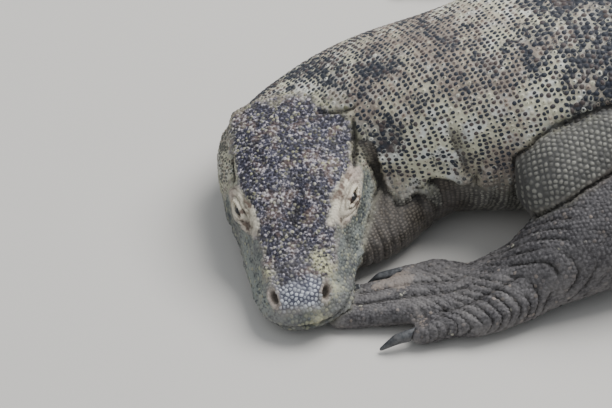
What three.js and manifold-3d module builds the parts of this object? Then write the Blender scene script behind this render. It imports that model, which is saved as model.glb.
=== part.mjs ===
// Life-size still model of a resting Komodo dragon, in millimetres, +Z up, floor at Z = 0.
// The head points along -Y and the animal's left side is +X. The neck turns sharply, the trunk
// runs along +X, and the tail sweeps back along +Y.
import * as THREE from "three";
import { mergeVertices } from "three/addons/utils/BufferGeometryUtils.js";
import Module from "manifold-3d";

const wasm = await Module();
wasm.setup();

// ---------------------------------------------------------------- driving dimensions
const HEAD_LENGTH = 200; // snout tip to the back of the skull
const HEAD_YAW = -0.3; // degrees the snout is turned towards +X
const HEAD_ROLL = 9; // degrees the left cheek is raised, by the hand under the chin
const ROLL_HEIGHT = 36; // level of the axis the head is rolled about
const SNOUT_TIP = [3.5, 0]; // plan position of the snout's tip
const JAW_INSET = 2.5; // how far the lower jaw is set in all round under the upper lip
const GAP = 0.3; // clearance between neighbouring pieces
const SIDES = { head: 20, body: 18, tail: 12, pouch: 7, limb: 9, digit: 6, claw: 5 };

const radians = THREE.MathUtils.degToRad;
const UP = new THREE.Vector3(0, 0, 1);

// ---------------------------------------------------------------- finishes
const finish = (color, roughness) => new THREE.MeshStandardMaterial({ color, roughness, metalness: 0 });
const FINISH = {
  crown: finish(0x5c5760, 0.75),
  back: finish(0x8c876f, 0.8),
  jaw: finish(0x6f6a5e, 0.8),
  limb: finish(0x55504c, 0.8),
  claw: finish(0x3c4143, 0.35),
  eye: finish(0x15110d, 0.08),
};

// ---------------------------------------------------------------- solids
// A closed three.js geometry as a manifold solid.
function solidOf(geometry) {
  const bare = geometry.clone();
  bare.deleteAttribute("normal");
  bare.deleteAttribute("uv");
  const merged = mergeVertices(bare, 1e-3);
  return new wasm.Manifold(
    new wasm.Mesh({
      numProp: 3,
      vertProperties: new Float32Array(merged.attributes.position.array),
      triVerts: new Uint32Array(merged.index.array),
    }),
  );
}

function geometryOf(solid) {
  const mesh = solid.getMesh();
  const places = new Float32Array(mesh.numVert * 3);
  for (let i = 0; i < mesh.numVert; i++) {
    places.set(mesh.vertProperties.subarray(i * mesh.numProp, i * mesh.numProp + 3), i * 3);
  }
  const geometry = new THREE.BufferGeometry();
  geometry.setAttribute("position", new THREE.BufferAttribute(places, 3));
  geometry.setIndex(new THREE.BufferAttribute(mesh.triVerts, 1));
  geometry.computeVertexNormals();
  return geometry;
}

// A unit sphere whose vertices are moved to point(ring, angle): ring 0 and the last are poles.
function warpedSphere(sides, rings, point) {
  const sphere = new THREE.SphereGeometry(1, sides, rings);
  const { position, uv } = sphere.attributes;
  for (let i = 0; i < position.count; i++) {
    const ring = Math.round((1 - uv.getY(i)) * rings);
    const side = Math.round(uv.getX(i) * sides) % sides;
    const p = point(ring, (side / sides) * 2 * Math.PI);
    position.setXYZ(i, p.x, p.y, p.z);
  }
  return solidOf(sphere);
}

const bent = (value, power) => Math.sign(value) * Math.abs(value) ** power;

// The end of a tube, from its last full ring to the pole. A round end is a dome `reach` half widths
// long, and a flat end (reach 0) is just the pole. Each ring is { share of the girth, push outwards }.
function tubeEnd(reach, caps) {
  if (!reach) return [{ share: 0, push: 0 }];
  return Array.from({ length: caps }, (_, i) => {
    const angle = ((i + 1) / caps) * 0.5 * Math.PI;
    return { share: i + 1 < caps ? Math.cos(angle) : 0, push: reach * Math.sin(angle) };
  });
}

// A fleshy tube along a smooth path. Each station is { at: [x, y, z], wide, up, down }: the place of
// its widest level, the half width there, and the height above and depth below it. `square` above 2
// fills out the corners of its round section, and `grow` adds a skin. Nothing goes below the floor.
function tube({
  stations,
  rings,
  sides,
  start = 1,
  end = 1,
  caps = 3,
  square = 2,
  grow = 0,
  from = 0,
  to = 1,
}) {
  const path = new THREE.CatmullRomCurve3(stations.map((s) => new THREE.Vector3(...s.at)));
  const girth = new THREE.CatmullRomCurve3(stations.map((s) => new THREE.Vector3(s.wide, s.up, s.down)));
  const first = tubeEnd(start, caps).reverse();
  const last = tubeEnd(end, caps);
  const between = Array.from({ length: rings + 1 }, (_, i) => from + ((to - from) * i) / rings);
  const plan = [
    ...first.map(({ share, push }) => ({ t: from, share, push: -push, skin: -grow })),
    ...between.map((t) => ({ t, share: 1, push: 0 })),
    ...last.map(({ share, push }) => ({ t: to, share, push, skin: grow })),
  ];
  if (!start) plan[1].skin = -grow;
  if (!end) plan[plan.length - 2].skin = grow;
  return warpedSphere(sides, plan.length - 1, (ring, angle) => {
    const { t, share, push, skin = 0 } = plan[ring];
    const size = girth.getPoint(t);
    const back = path.getTangent(t);
    const lift = UP.clone().addScaledVector(back, -UP.dot(back)).normalize();
    const left = new THREE.Vector3().crossVectors(back, lift).normalize();
    const height = Math.sin(angle) > 0 ? size.y : size.z;
    const p = path.getPoint(t);
    p.addScaledVector(left, (size.x + grow) * share * bent(Math.cos(angle), 2 / square));
    p.addScaledVector(lift, (height + grow) * share * bent(Math.sin(angle), 2 / square));
    p.addScaledVector(back, size.x * push + skin);
    p.z = Math.max(p.z, Math.min(0, -grow));
    return p;
  });
}

// ---------------------------------------------------------------- head
const backward = new THREE.Vector3(-Math.sin(radians(HEAD_YAW)), Math.cos(radians(HEAD_YAW)), 0);
const leftward = new THREE.Vector3(Math.cos(radians(HEAD_YAW)), Math.sin(radians(HEAD_YAW)), 0);

// A place in the head: across to its left, back from the snout's tip, and up, before the head's roll.
function inHead(across, back, up) {
  const roll = radians(HEAD_ROLL);
  return new THREE.Vector3(SNOUT_TIP[0], SNOUT_TIP[1], 0)
    .addScaledVector(leftward, across * Math.cos(roll) - (up - ROLL_HEIGHT) * Math.sin(roll))
    .addScaledVector(backward, back)
    .setZ(ROLL_HEIGHT + across * Math.sin(roll) + (up - ROLL_HEIGHT) * Math.cos(roll));
}

const SNOUT_DOME = 38; // length of the rounded end of the snout
// back from the tip, half width, level of the greatest width, top of the midline
const HEAD_STATIONS = [
  [SNOUT_DOME, 37.5, 19, 47],
  [56, 41.5, 22, 54],
  [74, 45, 27, 62],
  [96, 51.5, 31, 73],
  [120, 57, 35, 82],
  [144, 59.5, 37, 87],
  [166, 60, 39, 89],
  [HEAD_LENGTH - 18, 56, 40, 88],
];
// Swellings of the head: place before the roll, reach, height. Each is made on both sides.
const HEAD_SWELLINGS = [
  { at: [37, 92, 70], reach: 17, height: 5.5 }, // brow ridge
  { at: [28, 76, 60], reach: 13, height: 2 }, // front of the brow
  { at: [24, 22, 40], reach: 11, height: 2.5 }, // nostril
  { at: [47, 152, 70], reach: 9, height: -3.5 }, // groove beside the crown
  { at: [40, 150, 82], reach: 16, height: 2.5 }, // edge of the crown
  { at: [58, 152, 40], reach: 28, height: 3.5 }, // jaw muscle
  { at: [50, 86, 40], reach: 11, height: -3 }, // hollow under the eye
  { at: [32, 54, 44], reach: 13, height: -2.5 }, // hollow beside the snout
];
const EYE = { across: 37.5, back: 91.5, up: 52, radius: 9.5 };
const LID = { thickness: 2.2, stretch: 1.3, slit: 16, opening: 6 };
const GAZE = [0.64, -0.34, 0.69]; // the way an eye faces: across, back, up
const SLIT = [0.33, 0.89, 0.15]; // the way the slit between its lids runs

const bulges = [1, -1].flatMap((side) =>
  HEAD_SWELLINGS.map(({ at: [across, back, up], reach, height }) => ({
    centre: inHead(side * across, back, up),
    reach,
    height,
  })),
);

function swellHead(p) {
  const middle = inHead(0, 0, 36);
  const along = backward.dot(p.clone().sub(middle));
  const axis = inHead(0, along, 36);
  const out = p.clone().sub(axis).normalize();
  for (const { centre, reach, height } of bulges) {
    p.addScaledVector(out, height * Math.exp(-((p.distanceTo(centre) / reach) ** 2)));
  }
}

function headFlesh(grow) {
  const block = tube({
    stations: HEAD_STATIONS.map(([back, wide, level, top]) => ({
      at: [0, back, level],
      wide,
      up: top - level,
      down: level * 1.04,
    })),
    rings: 12,
    sides: SIDES.head,
    start: SNOUT_DOME / HEAD_STATIONS[0][1],
    end: 0.36,
    square: 2.35,
    grow,
  });
  // The block is made upright, then rolled and turned into place, swollen, and laid on the floor.
  return block.warp((v) => {
    const p = inHead(v[0], v[1], v[2]);
    swellHead(p);
    [v[0], v[1], v[2]] = [p.x, p.y, Math.max(p.z, Math.min(0, -grow))];
  });
}

// An eye's own directions: x along the slit, z the way it faces.
function eyeFrame(side) {
  const origin = inHead(0, 0, 0);
  const way = ([across, back, up]) => inHead(side * across, back, up).sub(origin).normalize();
  const out = way(GAZE);
  const across = new THREE.Vector3().crossVectors(out, way(SLIT)).normalize();
  const along = new THREE.Vector3().crossVectors(across, out);
  const centre = inHead(side * EYE.across, EYE.back, EYE.up);
  return new THREE.Matrix4().makeBasis(along, across, out).setPosition(centre);
}

function ball(side, radius, stretch = 1) {
  const sphere = new THREE.IcosahedronGeometry(radius, 2).scale(stretch, 1, 1);
  return solidOf(sphere.applyMatrix4(eyeFrame(side)));
}

// The lens-shaped opening between an eye's lids, as a block that runs outwards from the eye.
function lidOpening(side) {
  const outline = new THREE.Shape();
  outline.moveTo(-LID.slit / 2, 0);
  outline.quadraticCurveTo(0, LID.opening, LID.slit / 2, 0);
  outline.quadraticCurveTo(0, -LID.opening, -LID.slit / 2, 0);
  const block = new THREE.ExtrudeGeometry(outline, { depth: 30, bevelEnabled: false, curveSegments: 4 });
  return solidOf(block.applyMatrix4(eyeFrame(side)));
}

// The mouth: how high the lips meet, by the distance back from the tip. The lower jaw is below it.
const MOUTH_LINE = [
  [-20, 11],
  [10, 12],
  [40, 17],
  [80, 21],
  [116, 30],
  [128, 24],
  [150, -20],
];
function belowMouth(lower) {
  const outline = new THREE.Shape();
  outline.moveTo(-20, -60);
  outline.lineTo(MOUTH_LINE[0][0], MOUTH_LINE[0][1] - lower);
  const curve = MOUTH_LINE.slice(1, 5);
  outline.splineThru(curve.map(([back, up]) => new THREE.Vector2(back - lower, up - lower)));
  for (const [back, up] of MOUTH_LINE.slice(5)) outline.lineTo(back - lower, up - lower);
  outline.lineTo(150 - lower, -60);
  const halfWidth = 90;
  const extrusion = { depth: 2 * halfWidth, bevelEnabled: false, curveSegments: 3 };
  const block = new THREE.ExtrudeGeometry(outline, extrusion);
  // The outline's x runs back along the head and its y runs up: the extrusion runs across it.
  return solidOf(block).warp((v) => {
    const p = inHead(v[2] - halfWidth, v[0], v[1]);
    [v[0], v[1], v[2]] = [p.x, p.y, p.z];
  });
}

// The head above the mouth, with a lid round each eye.
function upperHead(grow) {
  let flesh = headFlesh(grow);
  if (!grow) flesh = flesh.subtract(belowMouth(0));
  for (const side of [1, -1]) {
    flesh = flesh.add(ball(side, EYE.radius + LID.thickness + grow, LID.stretch));
    if (!grow) flesh = flesh.subtract(lidOpening(side));
  }
  return flesh;
}

// ---------------------------------------------------------------- neck, trunk and tail
// Plan position, half width and height of the back, from inside the skull to the tail's tip.
const BODY_STATIONS = [
  [-16, 158, 51, 72],
  [9, 176, 60, 86],
  [40, 186, 65.5, 105],
  [76, 189, 71, 123],
  [118, 187, 78, 138],
  [172, 196, 91, 153],
  [245, 215, 106, 166],
  [335, 243, 115, 172],
  [445, 265, 127, 174],
  [565, 277, 133, 171],
  [685, 275, 126, 163],
  [795, 260, 110, 150],
  [885, 242, 90, 136],
  [980, 233, 63, 114],
  [1080, 240, 46, 95],
  [1180, 268, 38, 82],
  [1272, 318, 31, 71],
  [1346, 390, 26, 61],
  [1392, 482, 21, 51],
  [1402, 586, 16.5, 42],
  [1372, 690, 12.5, 33],
  [1306, 778, 9, 24],
  [1218, 838, 6, 15],
  [1128, 866, 3, 8],
];
const WIDEST_LEVEL = 0.42; // of the height of the back
const SAG = 1.12; // how far the belly would hang below the floor if nothing held it up

const bodyStations = BODY_STATIONS.map(([x, y, wide, height]) => ({
  at: [x, y, height * WIDEST_LEVEL],
  wide,
  up: height * (1 - WIDEST_LEVEL),
  down: height * WIDEST_LEVEL * SAG,
}));
const LAST = BODY_STATIONS.length - 1;
const TAIL_ROOT = 13;

// One length of the body, between two stations counted from the skull.
function bodyLength(first, last, rings, grow) {
  const slit = GAP / 2 / 100 / LAST; // about half the gap, as a share of the whole path
  return tube({
    stations: bodyStations,
    rings,
    sides: first < TAIL_ROOT ? SIDES.body : SIDES.tail,
    start: first ? 0 : 0.5,
    end: last === LAST ? 1 : 0,
    square: 2.25,
    grow,
    from: first / LAST + (first ? slit : 0),
    to: last / LAST - (last === LAST ? 0 : slit),
  });
}

// The loose skin of the throat, which lies on the floor behind the left cheek.
function throatPouch(grow) {
  return tube({
    stations: [
      { at: [49, 85, 22], wide: 24.5, up: 18, down: 25 },
      { at: [76, 112, 26], wide: 28, up: 26, down: 29 },
      { at: [97, 146, 30], wide: 26, up: 34, down: 33 },
    ],
    rings: 3,
    sides: SIDES.pouch,
    start: 0.8,
    end: 0.6,
    grow,
  });
}

// ---------------------------------------------------------------- legs
// Each segment is a rounded tube: [x, y, z, half width, half height] at each of its stations.
const segment = (list) => (grow) =>
  tube({
    stations: list.map(([x, y, z, wide, tall]) => ({ at: [x, y, z], wide, up: tall, down: tall })),
    rings: list.length,
    sides: SIDES.limb,
    caps: 2,
    start: 0.8,
    end: 0.8,
    square: 2.1,
    grow,
  });

const LEGS = {
  front_left: {
    names: ["upper_arm", "forearm", "hand"],
    joinsAt: "chest",
    upper: segment([
      [196, 110, 62, 47, 47],
      [262, 126, 88, 42, 42],
      [306, 116, 78, 36, 38],
    ]),
    lower: segment([
      [304, 106, 79, 38, 43],
      [270, 90, 65, 42, 45],
      [236, 75, 47, 41, 46],
      [180, 50, 30, 35, 32],
    ]),
    palm: [[176, 50, 24, 32, 25], [148, 37, 18, 34, 19], [122, 30, 13, 35, 14]],
    digits: [
      { root: [134, 56, 12], knuckle: [104, 66, 12], tip: [76, 62, 8.5], claw: 22 },
      { root: [124, 48, 14], knuckle: [88, 49, 13.5], tip: [46, 44, 8.2], claw: 15 },
      { root: [122, 36, 15], knuckle: [82, 35, 14], tip: [38, 31, 8], claw: 15 },
      { root: [124, 25, 14], knuckle: [84, 21, 13], tip: [31, 19, 7.5], claw: 15 },
      { root: [142, 14, 14], knuckle: [114, 7, 13.5], tip: [90, 0, 10], claw: 27 },
    ],
  },
  front_right: {
    names: ["upper_arm", "forearm", "hand"],
    joinsAt: "chest",
    upper: segment([
      [222, 262, 86, 48, 44],
      [256, 306, 86, 42, 40],
      [290, 344, 78, 35, 35],
    ]),
    lower: segment([
      [290, 352, 74, 35, 35],
      [254, 376, 56, 39, 36],
      [214, 400, 38, 34, 29],
      [190, 412, 28, 31, 23],
    ]),
    palm: [[188, 413, 23, 31, 24], [166, 426, 17, 34, 18], [142, 441, 12, 35, 13]],
    foot: { at: [142, 441], heading: 150, thumbSide: -1, scale: 1 },
  },
  hind_left: {
    names: ["thigh", "shank", "foot"],
    joinsAt: "hips",
    upper: segment([
      [884, 206, 84, 58, 50],
      [842, 150, 84, 50, 46],
      [806, 112, 74, 40, 38],
    ]),
    lower: segment([
      [806, 106, 70, 40, 38],
      [846, 84, 58, 41, 38],
      [884, 66, 42, 33, 30],
      [906, 56, 30, 30, 24],
    ]),
    palm: [[908, 54, 24, 31, 25], [876, 40, 18, 34, 19], [840, 24, 13, 36, 14]],
    foot: { at: [840, 24], heading: 204, thumbSide: -1, scale: 1.22 },
  },
  hind_right: {
    names: ["thigh", "shank", "foot"],
    joinsAt: "hips",
    upper: segment([
      [892, 280, 84, 58, 50],
      [872, 340, 80, 50, 46],
      [862, 384, 70, 40, 38],
    ]),
    lower: segment([
      [864, 390, 66, 40, 37],
      [900, 418, 54, 41, 37],
      [938, 440, 40, 33, 29],
      [960, 452, 29, 30, 23],
    ]),
    palm: [[962, 454, 24, 31, 25], [948, 484, 18, 34, 19], [930, 518, 13, 36, 14]],
    foot: { at: [930, 518], heading: 118, thumbSide: 1, scale: 1.22 },
  },
};

// Spread digits for a foot that lies flat: spread in degrees to the outer side, offset of the root to
// that side, and reach to the claw's root.
const DIGIT_PLAN = [
  { spread: -44, offset: -27, reach: 38 },
  { spread: -20, offset: -16, reach: 54 },
  { spread: -3, offset: -2, reach: 64 },
  { spread: 13, offset: 12, reach: 66 },
  { spread: 42, offset: 25, reach: 44 },
];
function spreadDigits({ at, heading, thumbSide, scale }) {
  const ahead = new THREE.Vector2(1, 0).rotateAround(new THREE.Vector2(), radians(heading));
  const outer = new THREE.Vector2(-ahead.y, ahead.x).multiplyScalar(thumbSide);
  return DIGIT_PLAN.map(({ spread, offset, reach }) => {
    const way = ahead.clone().rotateAround(new THREE.Vector2(), radians(spread) * thumbSide);
    const root = new THREE.Vector2(...at).addScaledVector(outer, offset).addScaledVector(ahead, -8);
    const place = (share, z) => {
      const p = root.clone().addScaledVector(way, reach * share * scale);
      return [p.x, p.y, z];
    };
    return { root: place(0, 13), knuckle: place(0.5, 15), tip: place(1, 6.5 * scale), claw: 22 * scale };
  });
}

function digit({ root, knuckle, tip }, scale, grow) {
  const round = (at, half) => ({ at, wide: half * scale, up: half * scale, down: half * scale });
  return tube({
    stations: [round(root, 11.5), round(knuckle, 10), round(tip, 8.2)],
    rings: 2,
    sides: SIDES.digit,
    caps: 2,
    start: 0,
    grow,
  });
}

// A claw: a curved cone that rises a little from the digit's end and comes down to a blunt tip.
function claw({ knuckle, tip, claw: length }, scale, grow) {
  const from = new THREE.Vector3(...tip);
  const way = from.clone().sub(new THREE.Vector3(...knuckle)).setZ(0).normalize();
  const along = (share, z, half) => {
    const p = from.clone().addScaledVector(way, length * share);
    return { at: [p.x, p.y, z], wide: half * 0.8 * scale, up: half * scale, down: half * scale };
  };
  return tube({
    stations: [along(-0.12, 12.5, 6), along(0.4, 12, 5), along(0.85, 8, 3.4), along(1.1, 3.2, 1.2)],
    rings: 2,
    sides: SIDES.claw,
    caps: 1,
    start: 0,
    grow,
  });
}

// ---------------------------------------------------------------- the model, piece by piece
const model = new THREE.Group();
const grown = new Map(); // each finished shape with the gap added, for its neighbours to be cut by

// Adds make(0), less the shapes already there that it meets, as one named mesh.
function add(name, material, make, meets = []) {
  const whole = make(0);
  const solid = meets.reduce((rest, other) => rest.subtract(grown.get(other)), whole);
  const largest = solid.decompose().sort((a, b) => b.volume() - a.volume())[0];
  const mesh = new THREE.Mesh(geometryOf(largest), material);
  mesh.name = name;
  model.add(mesh);
  grown.set(name, make(GAP).add(make(GAP / 2)).add(whole));
}

for (const [name, side] of [["eye_left", 1], ["eye_right", -1]]) {
  add(name, FINISH.eye, (grow) => ball(side, EYE.radius + grow));
}

// The feet come before the flesh that presses on them, which is dented by their grown shapes.
const footParts = [];
for (const [leg, { names, palm, digits, foot }] of Object.entries(LEGS)) {
  const footName = `${leg}_${names[2]}`;
  const scale = foot ? foot.scale : 1;
  const toes = digits ?? spreadDigits(foot);
  const sole = segment(palm);
  const wholeFoot = (grow) => toes.reduce((flesh, toe) => flesh.add(digit(toe, scale, grow)), sole(grow));
  add(footName, FINISH.limb, wholeFoot);
  footParts.push(footName);
  toes.forEach((toe, i) => {
    const name = `${leg}_claw_${i + 1}`;
    add(name, FINISH.claw, (grow) => claw(toe, scale, grow), [footName]);
    footParts.push(name);
  });
}

const jaw = (grow) => headFlesh(grow - JAW_INSET).intersect(belowMouth(GAP));
add("lower_jaw", FINISH.jaw, jaw, footParts);
add("head", FINISH.crown, upperHead, ["eye_left", "eye_right", ...footParts]);

// name, finish, first and last station, rings
const BODY_LENGTHS = [
  ["neck", FINISH.back, 0, 5, 6],
  ["chest", FINISH.back, 5, 7.4, 3],
  ["belly_front", FINISH.back, 7.4, 9, 3],
  ["belly_rear", FINISH.back, 9, 11, 3],
  ["hips", FINISH.back, 11, TAIL_ROOT, 3],
  ["tail_1", FINISH.back, TAIL_ROOT, 15, 3],
  ["tail_2", FINISH.back, 15, 17, 3],
  ["tail_3", FINISH.back, 17, 19, 3],
  ["tail_4", FINISH.back, 19, 21, 3],
  ["tail_5", FINISH.back, 21, LAST, 3],
];
for (const [name, material, first, last, rings] of BODY_LENGTHS) {
  const withPouch = (grow) => bodyLength(first, last, rings, grow).add(throatPouch(grow));
  if (name === "neck") add(name, material, withPouch, ["head", ...footParts]);
  else add(name, material, (grow) => bodyLength(first, last, rings, grow), footParts);
}

const trunk = BODY_LENGTHS.slice(0, 6).map(([name]) => name);
for (const [leg, { names, upper, lower }] of Object.entries(LEGS)) {
  const [upperName, lowerName] = names.map((part) => `${leg}_${part}`);
  add(upperName, FINISH.limb, upper, [...trunk, ...footParts]);
  add(lowerName, FINISH.limb, lower, [...trunk, ...footParts, upperName]);
}

// The origin is the middle of the bottom of the model's box.
const box = new THREE.Box3().setFromObject(model);
const middle = box.getCenter(new THREE.Vector3());
model.position.set(-middle.x, -middle.y, -box.min.z);

export default model;
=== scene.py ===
import math

import bmesh
import bpy
import numpy as np
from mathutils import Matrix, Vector
from mathutils.bvhtree import BVHTree
from mathutils.kdtree import KDTree

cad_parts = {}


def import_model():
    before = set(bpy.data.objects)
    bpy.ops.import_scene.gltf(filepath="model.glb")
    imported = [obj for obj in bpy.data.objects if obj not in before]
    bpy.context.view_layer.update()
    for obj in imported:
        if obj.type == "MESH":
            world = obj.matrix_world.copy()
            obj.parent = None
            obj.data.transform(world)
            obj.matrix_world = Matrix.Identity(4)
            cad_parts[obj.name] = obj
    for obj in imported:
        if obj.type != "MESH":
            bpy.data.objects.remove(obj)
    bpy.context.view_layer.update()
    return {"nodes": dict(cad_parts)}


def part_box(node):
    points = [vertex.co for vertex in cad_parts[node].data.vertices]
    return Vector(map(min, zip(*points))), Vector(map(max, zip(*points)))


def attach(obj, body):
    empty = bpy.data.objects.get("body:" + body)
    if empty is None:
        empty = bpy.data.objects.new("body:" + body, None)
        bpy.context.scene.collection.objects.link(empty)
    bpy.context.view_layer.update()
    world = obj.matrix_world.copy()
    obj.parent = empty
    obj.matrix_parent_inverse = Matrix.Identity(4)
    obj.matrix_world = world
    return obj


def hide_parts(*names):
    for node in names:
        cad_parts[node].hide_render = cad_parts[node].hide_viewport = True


# A Komodo dragon resting on its belly with its chin on the ground and one hand beside it. One soft
# skin stands for the solids of flesh, and raised scales pave it from the snout to the tail's tip.
# Everything is in metres, in the part's own frame: +Z up, the dragon's head towards -Y.

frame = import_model()

MM = 0.001
UP = np.array([0.0, 0.0, 1.0])
rng = np.random.default_rng(20)

# ---------------- sizes
TRUNK = ["neck", "chest", "belly_front", "belly_rear", "hips", *[f"tail_{i}" for i in range(1, 6)]]
HEAD = ["head", "lower_jaw"]
LEGS = {
    "front_left": ["upper_arm", "forearm", "hand"],
    "front_right": ["upper_arm", "forearm", "hand"],
    "hind_left": ["thigh", "shank", "foot"],
    "hind_right": ["thigh", "shank", "foot"],
}
leg_nodes = {leg: [f"{leg}_{part}" for part in parts] for leg, parts in LEGS.items()}
flesh_nodes = HEAD + TRUNK + [name for names in leg_nodes.values() for name in names]
claw_nodes = [name for name in frame["nodes"] if "_claw_" in name]
EYES = {"eye_left": 1, "eye_right": -1}

FOOT_SWELL = 0.9 * MM  # makes up for what smoothing takes off the digits
SEAM = 0.4 * MM  # flesh nodes swell by this before they fuse, so that the gaps between them close
COAT = 0.7 * MM  # how far the skin lies inside the solids
SKIN_CELL = 3.2 * MM  # size of the skin's faces, before the fine areas are divided further
# How finely each block of flesh is fused, and how many times it is smoothed.
TRUNK_BLOCK = {"cell": 4 * MM, "rounds": 50}
HEAD_BLOCK = {"cell": 2 * MM, "rounds": 16}
LEG_BLOCK = {"cell": 2.5 * MM, "rounds": 20}
CLAW = {"cell": 0.7 * MM, "rounds": 25, "swell": 0.9 * MM}  # swollen by what the smoothing takes off
SOFT = 0.6  # how far one round of smoothing moves a vertex towards its neighbours
FOOT_SOFT = 0.10
THICK = 60 * MM  # where the body is at least this thick, its facets are smoothed away in full
LOWEST = 0.3 * MM  # the skin stays this far above the ground

LINE_STEP = 1 * MM  # from place to place along a guide line
SPINE_START = np.array([-60, -22, 0]) * MM  # from the middle of the skull to where the scale rows begin

# Where the left eye's centre is in the head: across, back from the snout's tip, up.
EYE_PLACE = np.array([37.5, 91.5, 52.0]) * MM
GAZE = (0.64, -0.34, 0.69)  # the way an eye faces: across, back, up
SLIT_WAY = (0.33, 0.89, 0.15)  # the way the slit between its lids runs
SLIT_HALF_LENGTH = 8.6 * MM
SLIT_HALF_HEIGHT = 1.9 * MM

CAMERA_ELEVATION = math.radians(42)
CAMERA_DISTANCE = 3.0
CAMERA_TARGET = Vector((-0.672, -0.2482, 0))
CAMERA_LENS = 235.3
CAMERA_SENSOR = 36


# ---------------- small tools
def unit(v):
    v = np.asarray(v, float)
    return v / np.maximum(np.linalg.norm(v, axis=-1, keepdims=True), 1e-12)


def lengths(v):
    return np.linalg.norm(v, axis=-1)


def ease(low, high, x):
    """0 below low and 1 above high, with a soft turn at both ends. low may be the greater one."""
    t = np.clip((x - low) / (high - low), 0, 1)
    return t * t * (3 - 2 * t)


def hump(x, width):
    """A soft hump: 1 at x = 0, near 0 past twice the width."""
    return np.exp(-((x / width) ** 2))


def cloud(points, size, seed):
    """Soft even noise from 0 to 1, its blobs about `size` across."""
    cell = points / size
    low = np.floor(cell).astype(np.int64)
    part = cell - low
    part = part * part * (3 - 2 * part)
    total = np.zeros(len(points))
    for corner in np.ndindex(2, 2, 2):
        at = low + corner
        mixed = (at[:, 0] * 73856093) ^ (at[:, 1] * 19349663) ^ (at[:, 2] * 83492791) ^ (seed * 2654435761)
        mixed = (mixed ^ (mixed >> 13)) * 1274126177 % 4294967296
        share = np.prod(np.where(corner, part, 1 - part), axis=1)
        total += share * ((mixed ^ (mixed >> 16)) % 65536) / 65535
    return total


def read(items, field, width, kind=float):
    """One field of all of a mesh's vertices, edges, faces or corners, as rows of numbers."""
    flat = np.empty(width * len(items), kind)
    items.foreach_get(field, flat)
    return flat.reshape(-1, width)


def vertices_of(mesh):
    return read(mesh.vertices, "co", 3)


def normals_of(mesh):
    return read(mesh.vertex_normals, "vector", 3, np.float32).astype(float)


def edges_of(mesh):
    return read(mesh.edges, "vertices", 2, np.int32)


def move_vertices(mesh, places):
    mesh.vertices.foreach_set("co", places.ravel())
    mesh.update()


def kd_tree(points):
    tree = KDTree(len(points))
    for i, p in enumerate(points):
        tree.insert(p, i)
    tree.balance()
    return tree


def tree_of(mesh):
    corners = [tuple(face.vertices) for face in mesh.polygons]
    return BVHTree.FromPolygons([tuple(p) for p in vertices_of(mesh)], corners)


# ---------------- making objects and meshes
def new_object(name, data):
    made = bpy.data.objects.new(name, data)
    bpy.context.scene.collection.objects.link(made)
    return made


def mesh_from(shape, name):
    """The mesh of a bmesh, which it uses up."""
    mesh = bpy.data.meshes.new(name)
    shape.to_mesh(mesh)
    shape.free()
    return mesh


def joined(meshes, name):
    """One mesh of all of these, which it uses up."""
    shape = bmesh.new()
    for mesh in meshes:
        shape.from_mesh(mesh)
        bpy.data.meshes.remove(mesh)
    return mesh_from(shape, name)


# ---------------- flesh
def swollen(name, swell):
    """A copy of a CAD node, its surface moved out."""
    solid = bmesh.new()
    solid.from_mesh(frame["nodes"][name].data)
    bmesh.ops.remove_doubles(solid, verts=solid.verts, dist=1e-6)
    solid.normal_update()
    for vertex in solid.verts:
        vertex.co += vertex.normal * swell
    return mesh_from(solid, name)


def swollen_copy(names, foot=None, seam=SEAM):
    """One mesh of copies of these CAD nodes, each a little fatter, a foot by more."""
    extra = {foot: FOOT_SWELL}
    return joined([swollen(name, seam + extra.get(name, 0)) for name in names], "flesh")


def fused(mesh, cell):
    """The outside of overlapping closed shells, as one shell of even faces."""
    shell = new_object("shell", mesh)
    voxels = shell.modifiers.new("voxels", "REMESH")
    voxels.mode = "VOXEL"
    voxels.voxel_size = cell
    whole = shell.evaluated_get(bpy.context.evaluated_depsgraph_get())
    result = bpy.data.meshes.new_from_object(whole)
    bpy.data.objects.remove(shell)
    return result


def relax(values, edges, rounds, amount=SOFT):
    """Moves each vertex's value towards the mean of its neighbours', `rounds` times."""
    a, b = edges.T
    count = len(values)
    degree = np.maximum(np.bincount(a, minlength=count) + np.bincount(b, minlength=count), 1)
    values = values.reshape(count, -1).copy()
    amount = np.broadcast_to(np.reshape(amount, (-1, 1)), (count, 1))
    for _ in range(rounds):
        for column in values.T:
            total = np.bincount(a, column[b], count) + np.bincount(b, column[a], count)
            column += amount[:, 0] * (total / degree - column)
    return values


def soft_block(names, cell, rounds, amount=lambda places: SOFT, foot=None):
    """Some CAD nodes fused into one smooth shell."""
    mesh = fused(swollen_copy(names, foot), cell)
    places = vertices_of(mesh)
    move_vertices(mesh, relax(places, edges_of(mesh), rounds, amount(places)))
    return mesh


# ---------------- the head's own directions
eye_centres = {name: np.mean(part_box(name), axis=0) for name in EYES}
middle = (eye_centres["eye_left"] + eye_centres["eye_right"]) / 2
head_across = unit(eye_centres["eye_left"] - eye_centres["eye_right"])
head_back = unit(np.cross(UP, head_across))
head_up = np.cross(head_across, head_back)
head_axes = np.array([head_across, head_back, head_up])
head_origin = middle - EYE_PLACE[1] * head_back - EYE_PLACE[2] * head_up


def in_head(points):
    """Places in the head: across to its left, back from the snout's tip, and up."""
    return (points - head_origin) @ head_axes.T


def eye_axes(side):
    """An eye's own directions: along its slit, across the slit, and out."""
    out = unit(np.array(GAZE) * [side, 1, 1] @ head_axes)
    way = np.array(SLIT_WAY) * [side, 1, 1] @ head_axes
    across = unit(np.cross(out, way))
    return np.array([np.cross(across, out), across, out])


# ---------------- axes that the scales follow
def node_points(name):
    return vertices_of(frame["nodes"][name].data)


def junction(one, other, reach=3 * MM):
    """The middle of where two CAD nodes meet."""
    tree = kd_tree(node_points(other))
    near = [p for p in node_points(one) if tree.find(p)[2] < reach]
    return np.mean(near, axis=0)


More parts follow.
